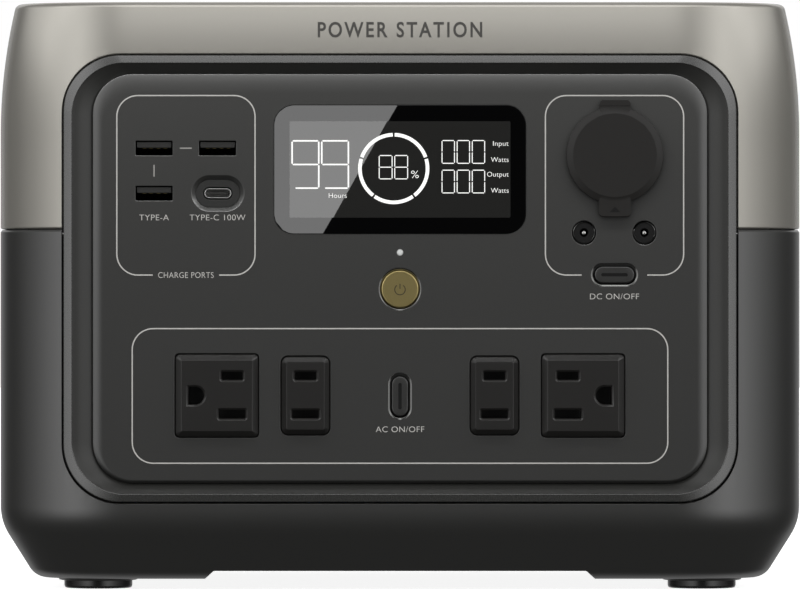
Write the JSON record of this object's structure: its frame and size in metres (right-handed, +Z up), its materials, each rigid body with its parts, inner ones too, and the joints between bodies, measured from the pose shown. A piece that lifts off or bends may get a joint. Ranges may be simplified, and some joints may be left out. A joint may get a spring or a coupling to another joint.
{
  "type": "portable power station",
  "caption": "Portable power station: two-tone box case with a front panel of power sockets and a screen, and a fixed rear carrying handle.",
  "frame": {"origin": "centre of the overall box at the level of the feet's undersides", "axes": "+X to the right as seen from the front, along the width; +Y to the back, where the handle is; +Z up"},
  "size_m": [0.27, 0.2599, 0.197],
  "materials": {
    "light_shell": "satin champagne grey with a fine moulded texture",
    "dark_shell": "fine moulded texture, charcoal",
    "panel": "satin dark grey with printed light line frames",
    "bezel": "satin grey lacquer",
    "black_plastic": "black nylon",
    "rubber": "soft black rubber",
    "steel": "nickel plated",
    "gold_metal": "anodised bronze gold, brushed face",
    "window": "polished smoked acrylic",
    "light_guide": "frosted",
    "circuit_board": "green solder mask",
    "aluminium": "extruded",
    "ferrite": "dark fired ferrite",
    "cell_wrap": "blue shrink film",
    "red_cable": "silicone insulation",
    "black_cable": "silicone insulation"
  },
  "bodies": {
    "case": {"upper_shell": "light_shell", "lower_shell": "dark_shell", "front_bezel": "bezel", "front_panel": "panel", "handle_grip": "rubber", "input_bay": "black_plastic", "input_door_pin": "steel", "intake_grille": "dark_shell", "exhaust_grille": "dark_shell", "foot_front_left": "rubber", "foot_front_right": "rubber", "foot_rear_left": "rubber", "foot_rear_right": "rubber", "case_screw_front_left": "steel", "case_screw_front_right": "steel", "case_screw_rear_left": "steel", "case_screw_rear_right": "steel", "handle_screw_left": "steel", "handle_screw_right": "steel", "display_window": "window", "display_module": "black_plastic", "status_light": "light_guide", "type_a_port_upper_left": "steel", "type_a_port_upper_right": "steel", "type_a_port_lower": "steel", "type_c_port": "steel", "car_socket": "black_plastic", "cap_hinge": "rubber", "dc_jack_left": "black_plastic", "dc_jack_right": "black_plastic", "grounded_outlet_left": "black_plastic", "grounded_outlet_right": "black_plastic", "plain_outlet_left": "black_plastic", "plain_outlet_right": "black_plastic", "control_board": "circuit_board", "ac_inlet": "black_plastic", "dc_input": "black_plastic", "fan_frame": "black_plastic", "battery_tray": "black_plastic", "battery_cell_1": "cell_wrap", "battery_cell_2": "cell_wrap", "battery_cell_3": "cell_wrap", "battery_cell_4": "cell_wrap", "battery_cell_5": "cell_wrap", "battery_cell_6": "cell_wrap", "battery_cell_7": "cell_wrap", "battery_cell_8": "cell_wrap", "bms_board": "circuit_board", "inverter_board": "circuit_board", "heat_sink": "aluminium", "transformer": "ferrite", "battery_lead_positive": "red_cable", "battery_lead_negative": "black_cable"},
    "power_button": {"power_button": "gold_metal"},
    "dc_button": {"dc_button": "panel"},
    "ac_button": {"ac_button": "panel"},
    "socket_cap": {"car_socket_cap": "rubber"},
    "input_door": {"input_door": "dark_shell"},
    "fan_rotor": {"fan_rotor": "black_plastic"}
  },
  "joints": [
    {"name": "power_press", "type": "slide", "parent": "case", "child": "power_button", "axis": [0, 1, 0], "range_m": [0, 0.0012], "stiffness_N_per_m": 800},
    {"name": "dc_press", "type": "slide", "parent": "case", "child": "dc_button", "axis": [0, 1, 0], "range_m": [0, 0.0012], "stiffness_N_per_m": 800},
    {"name": "ac_press", "type": "slide", "parent": "case", "child": "ac_button", "axis": [0, 1, 0], "range_m": [0, 0.0012], "stiffness_N_per_m": 800},
    {"name": "cap_swing", "type": "hinge", "parent": "case", "child": "socket_cap", "pos_m": [0.0718, -0.1299, 0.16205], "axis": [-1, 0, 0], "range_deg": [0, 150]},
    {"name": "door_swing", "type": "hinge", "parent": "case", "child": "input_door", "pos_m": [0, 0.0856, 0.0916], "axis": [1, 0, 0], "range_deg": [0, 95]},
    {"name": "fan_spin", "type": "hinge", "parent": "case", "child": "fan_rotor", "pos_m": [0.119, 0.002, 0.07], "axis": [1, 0, 0], "continuous": true}
  ]
}
